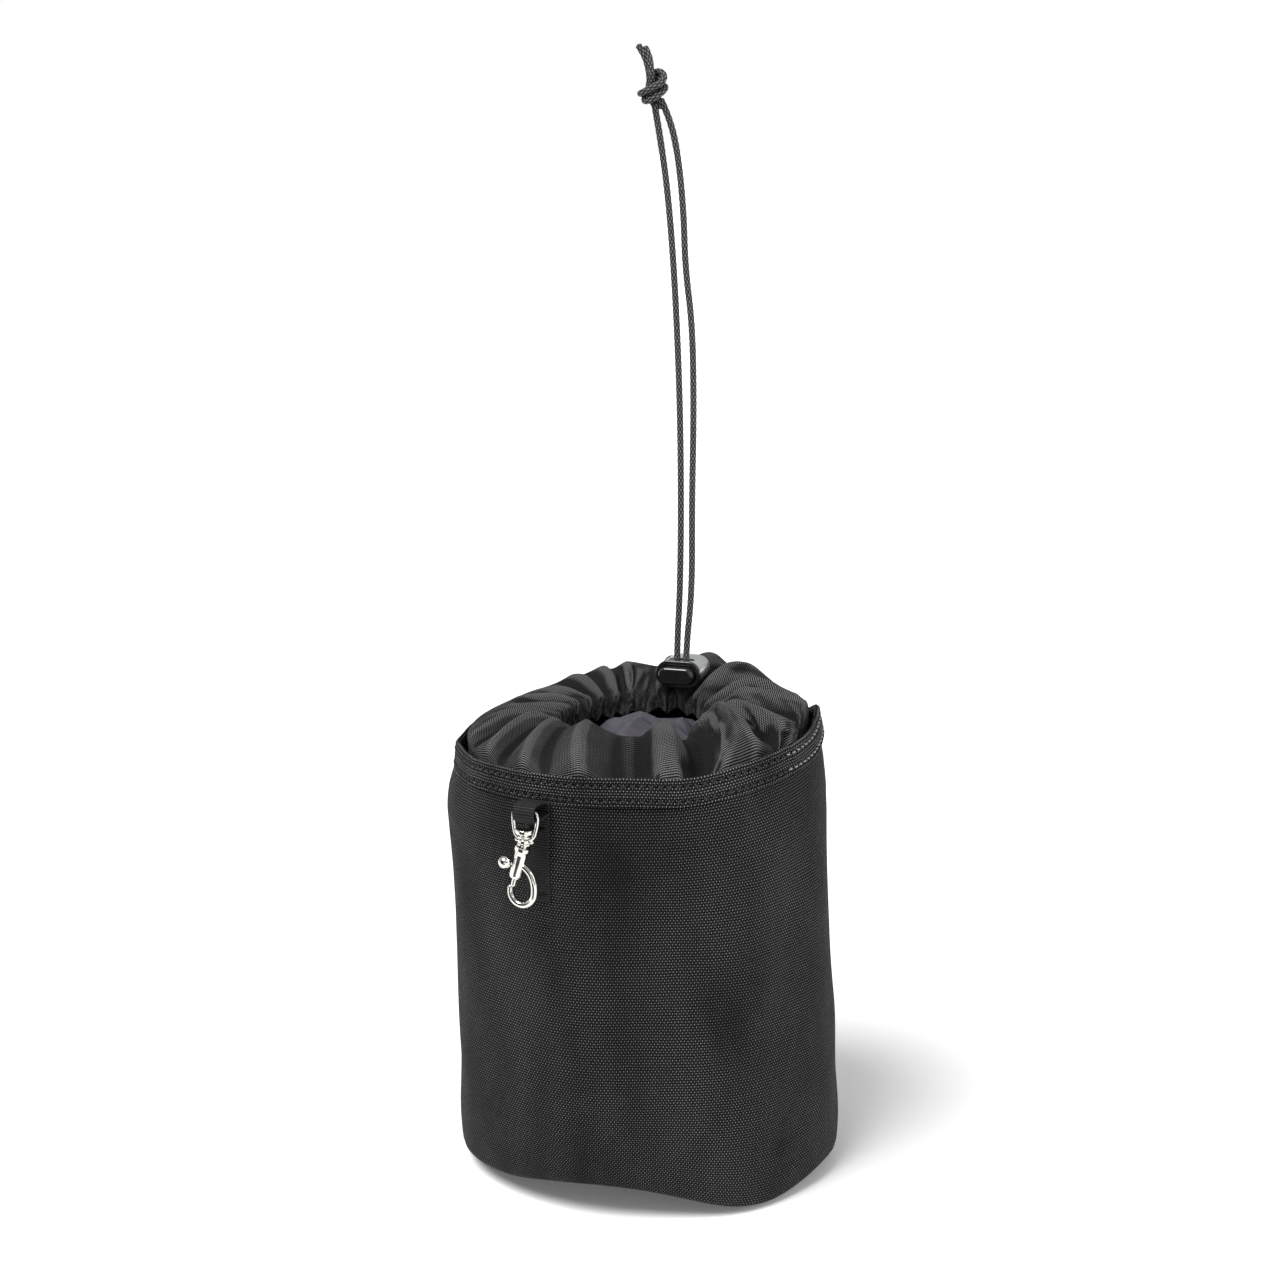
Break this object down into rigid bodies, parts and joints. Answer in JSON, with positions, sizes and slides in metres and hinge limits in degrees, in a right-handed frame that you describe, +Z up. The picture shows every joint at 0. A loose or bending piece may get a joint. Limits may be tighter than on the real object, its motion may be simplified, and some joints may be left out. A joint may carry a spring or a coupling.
{
  "type": "rope storage bag",
  "caption": "Soft round drawstring bag for a throw line or rope, with a gathered collar, a cord lock and a swivel snap hook on a webbing loop.",
  "frame": {"origin": "on the floor under the middle of the bag, without its free drawcord", "axes": "+Z up; -Y is the bag's front, which has the snap hook on its left; +X to the right seen from the front"},
  "size_m": [0.18, 0.1809, 0.5107],
  "materials": {
    "bag_fabric": "coarse plain-weave black nylon",
    "collar_fabric": "light ribbed black nylon with a soft sheen",
    "binding_tape": "woven seam tape",
    "thread": "twisted polyester sewing thread",
    "drawcord": "round braided polyester cord",
    "webbing": "ribbed nylon webbing",
    "lock_silver": "bright silver-coated moulding",
    "lock_black": "glossy black moulding",
    "spring_steel": "spring wire",
    "nickel": "bright nickel plating"
  },
  "bodies": {
    "bag": {"body_wall": "bag_fabric", "base_panel": "bag_fabric", "base_seam_binding": "binding_tape", "side_seam_binding": "binding_tape", "rim_hem": "bag_fabric", "rim_stitch_upper": "thread", "rim_stitch_lower": "thread", "collar": "collar_fabric", "drawcord_channel": "collar_fabric", "drawcord_loop": "drawcord", "drawcord_left": "drawcord", "drawcord_right": "drawcord", "drawcord_knot": "drawcord", "drawcord_tails": "drawcord", "webbing_strap": "webbing", "webbing_loop": "webbing", "webbing_bartacks": "thread"},
    "cord_lock": {"lock_barrel": "lock_silver", "lock_flange": "lock_black", "lock_spring": "spring_steel"},
    "lock_button": {"lock_plunger": "lock_black"},
    "swivel_eye": {"snap_eye": "nickel"},
    "snap_hook": {"swivel_post": "nickel", "snap_body": "nickel", "bolt_spring": "spring_steel"},
    "snap_gate": {"snap_bolt": "nickel"}
  },
  "joints": [
    {"name": "lock_slide", "type": "slide", "parent": "bag", "child": "cord_lock", "axis": [0.011, 0, 0.9999], "range_m": [0, 0.145]},
    {"name": "button_press", "type": "slide", "parent": "cord_lock", "child": "lock_button", "axis": [0.2924, 0.9563, 0], "range_m": [0, 0.0043], "stiffness_N_per_m": 400, "springref_m": -0.003, "deforming": ["lock_spring"]},
    {"name": "eye_swing", "type": "hinge", "parent": "bag", "child": "swivel_eye", "pos_m": [-0.05134, -0.08639, 0.1877], "axis": [-0.873, 0.4839, 0.061], "range_deg": [-1.5, 75]},
    {"name": "hook_swivel", "type": "hinge", "parent": "swivel_eye", "child": "snap_hook", "pos_m": [-0.05205, -0.08599, 0.17443], "axis": [0.0534, -0.0296, 0.9981], "continuous": true},
    {"name": "gate_slide", "type": "slide", "parent": "snap_hook", "child": "snap_gate", "axis": [0.2484, -0.1377, 0.9588], "range_m": [0, 0.0055], "stiffness_N_per_m": 150, "springref_m": -0.004, "deforming": ["bolt_spring"]}
  ]
}
